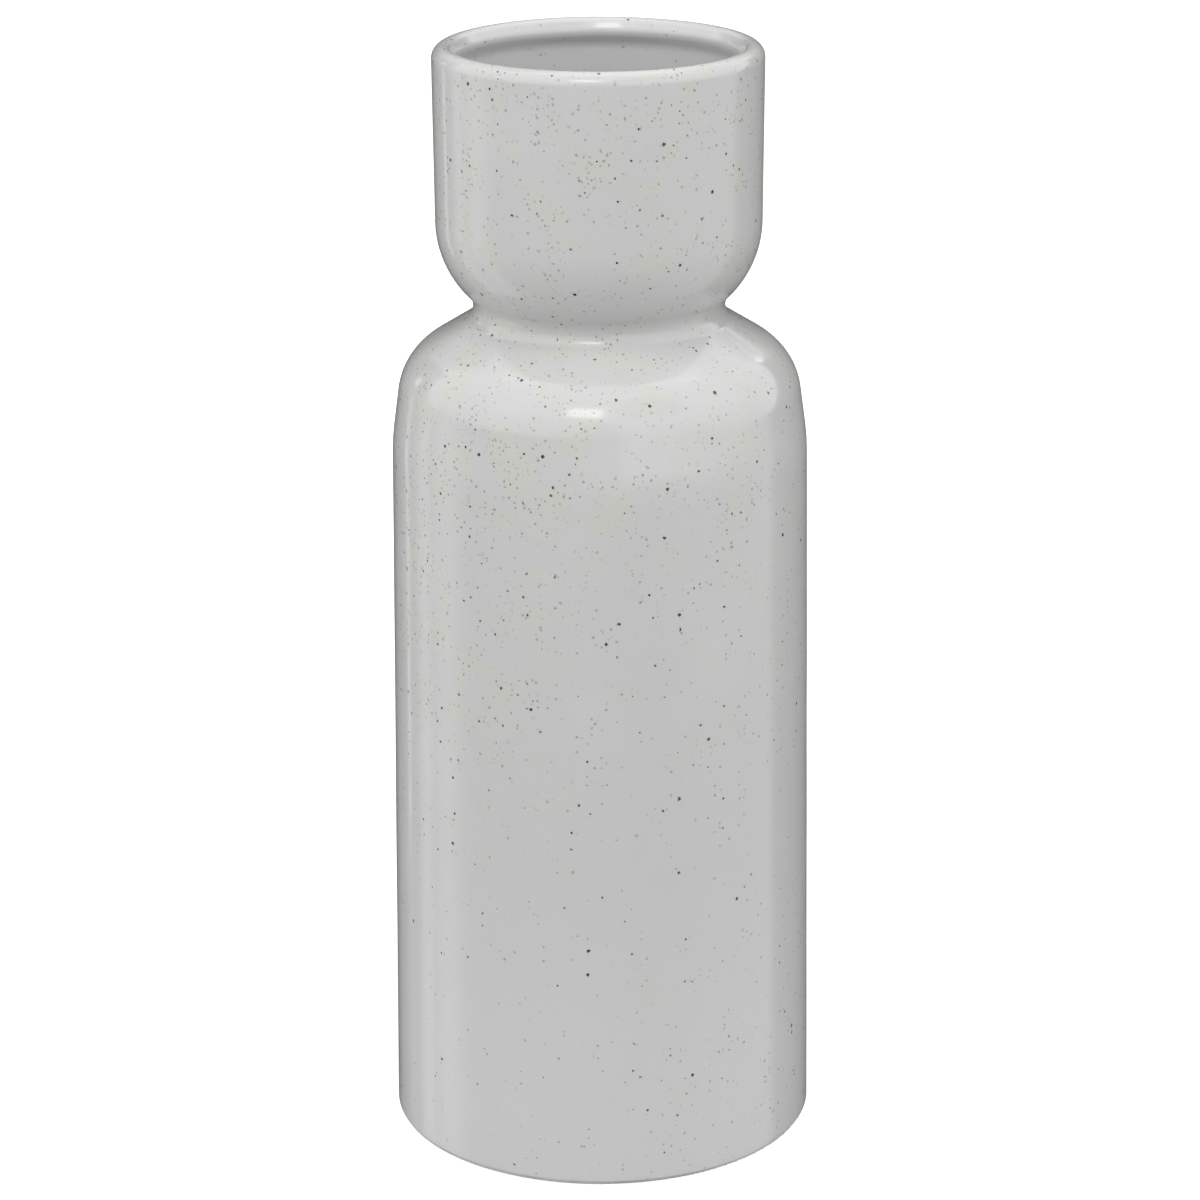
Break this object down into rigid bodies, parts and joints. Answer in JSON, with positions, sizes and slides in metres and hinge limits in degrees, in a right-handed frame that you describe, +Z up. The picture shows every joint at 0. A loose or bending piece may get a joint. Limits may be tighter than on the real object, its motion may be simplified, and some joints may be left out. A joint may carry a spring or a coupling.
{
  "type": "bottle vase",
  "caption": "Tall round stoneware bottle vase with a pinched waist and a straight-sided cup mouth, in glossy speckled pale grey glaze; holds stems upright.",
  "frame": {"origin": "centre of the foot on the surface that the vase stands on", "axes": "+Z up along the axis that the vase is turned about, through the mouth; every direction across it is alike"},
  "size_m": [0.1158, 0.1158, 0.3],
  "materials": {
    "fired_clay": "bare fired stoneware, matt and slightly gritty, seen only on the foot ring",
    "fired_slip": "fired joining slip and clay coil, matt, under the glaze",
    "speckled_glaze": "glossy pale cool grey glaze with fine dark iron specks",
    "liner_glaze": "glossy pale cool grey glaze with fine dark iron specks, inside the vase"
  },
  "bodies": {
    "root": {"bottle_body": "fired_clay", "mouth_cup": "fired_clay", "luting_slip": "fired_slip", "crease_coil": "fired_slip", "outer_glaze": "speckled_glaze", "liner_glaze": "liner_glaze", "underside_glaze": "speckled_glaze"}
  },
  "joints": []
}
